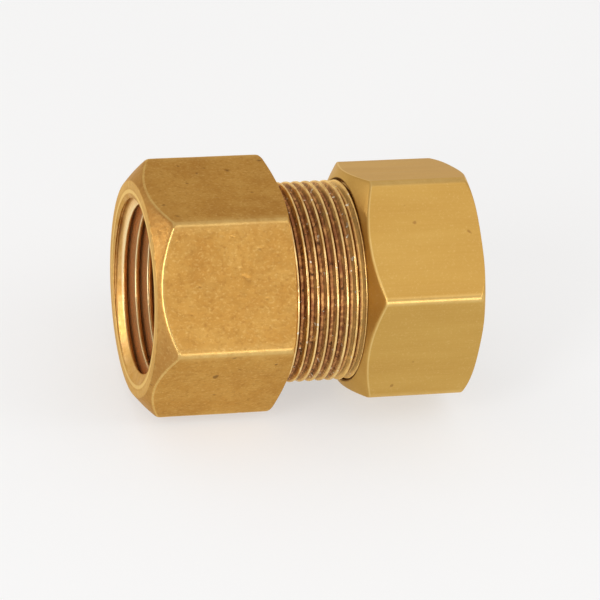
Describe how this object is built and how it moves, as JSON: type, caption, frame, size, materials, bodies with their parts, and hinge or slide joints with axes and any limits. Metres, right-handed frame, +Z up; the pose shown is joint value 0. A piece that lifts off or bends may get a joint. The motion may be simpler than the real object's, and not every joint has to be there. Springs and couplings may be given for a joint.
{
  "type": "compression fitting",
  "caption": "Brass compression adapter: hexagonal body with an internal taper pipe thread, external straight thread, loose sleeve and hexagonal nut.",
  "frame": {"origin": "centre of the pipe thread's mouth, on the fitting's axis, in the plane of the body's pipe-end face", "axes": "+X along the axis from the pipe end to the tube end, +Z up with one flat of the body's hexagon facing down, +Y to the far side"},
  "size_m": [0.0468, 0.0364, 0.035],
  "materials": {
    "tumbled_brass": "tumbled, fine speckle",
    "turned_brass": "bright turned",
    "brushed_brass": "satin, fine lines along the axis"
  },
  "bodies": {
    "adapter": {"adapter_body": "tumbled_brass"},
    "sleeve": {"compression_sleeve": "turned_brass"},
    "nut": {"compression_nut": "brushed_brass"}
  },
  "joints": [
    {"name": "nut_travel", "type": "slide", "parent": "adapter", "child": "sleeve", "axis": [1, 0, 0], "range_m": [0, 0.0085]},
    {"name": "nut_turn", "type": "hinge", "parent": "sleeve", "child": "nut", "pos_m": [0.0385, 0, 0], "axis": [1, 0, 0], "range_deg": [0, 2160]}
  ],
  "couplings": [
    {"joint": "nut_travel", "follows": "nut_turn", "m_per_rad": 0.00022459}
  ]
}
